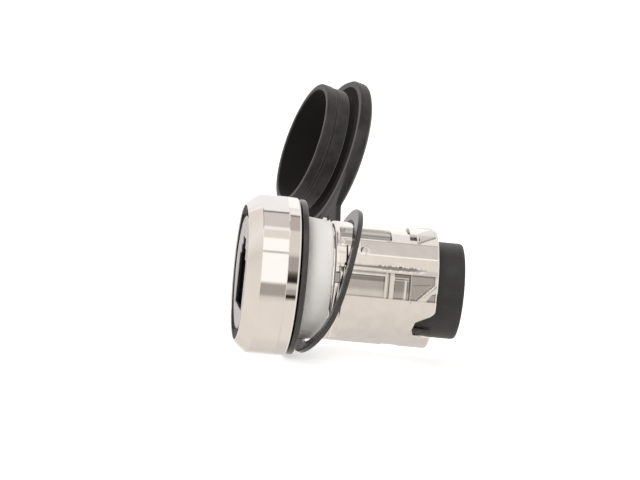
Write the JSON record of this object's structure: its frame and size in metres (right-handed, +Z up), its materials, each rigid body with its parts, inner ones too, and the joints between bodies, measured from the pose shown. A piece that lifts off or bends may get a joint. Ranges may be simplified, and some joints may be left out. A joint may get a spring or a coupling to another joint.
{
  "type": "panel mount ethernet socket",
  "caption": "Round chromed panel-mount modular network socket with a die-cast barrel, rear jack, gasket, collar and tethered rubber dust cap.",
  "frame": {"origin": "on the socket's axis, in the plane of the gasket's rear face, where the front of the panel is", "axes": "+Y along the socket's axis towards the rear jack, +Z up, the plug goes in along +Y from the front"},
  "size_m": [0.0696, 0.0404, 0.0471],
  "materials": {
    "chrome": "bright chrome plate on zinc die casting",
    "black_rubber": "moulded, satin",
    "black_plastic": "moulded, fine grain",
    "white_plastic": "natural, milky",
    "grey_plastic": "moulded, satin",
    "gold_plate": "gold plated spring wire",
    "board_green": "solder resist"
  },
  "bodies": {
    "socket": {"bezel": "chrome", "bezel_gasket": "black_rubber", "groove_seal": "black_rubber", "centring_collar": "white_plastic", "barrel": "chrome", "port_insert": "grey_plastic", "front_jack": "black_plastic", "circuit_board": "board_green", "rear_jack": "black_plastic", "front_contact_1": "gold_plate", "front_contact_2": "gold_plate", "front_contact_3": "gold_plate", "front_contact_4": "gold_plate", "front_contact_5": "gold_plate", "front_contact_6": "gold_plate", "front_contact_7": "gold_plate", "front_contact_8": "gold_plate", "rear_contact_1": "gold_plate", "rear_contact_2": "gold_plate", "rear_contact_3": "gold_plate", "rear_contact_4": "gold_plate", "rear_contact_5": "gold_plate", "rear_contact_6": "gold_plate", "rear_contact_7": "gold_plate", "rear_contact_8": "gold_plate"},
    "ring": {"tether_ring": "black_rubber"},
    "strap": {"cap_strap": "black_rubber"},
    "cap": {"cap": "black_rubber"}
  },
  "joints": [
    {"name": "ring_tilt", "type": "hinge", "parent": "socket", "child": "ring", "pos_m": [0, 0.00202, -0.01423], "axis": [1, 0, 0], "range_deg": [0, 18.2]},
    {"name": "strap_bend", "type": "hinge", "parent": "ring", "child": "strap", "pos_m": [-0.01421, 0.00766, 0.00619], "axis": [0.4258, 0.2826, 0.8596], "range_deg": [-20, 56], "stiffness_Nm_per_rad": 0.02},
    {"name": "cap_bend", "type": "hinge", "parent": "strap", "child": "cap", "pos_m": [-0.02534, 0.0085, 0.01143], "axis": [0.4258, 0.2826, 0.8596], "range_deg": [-19, 53.2]}
  ],
  "couplings": [
    {"joint": "cap_bend", "follows": "strap_bend", "ratio": 0.95}
  ]
}
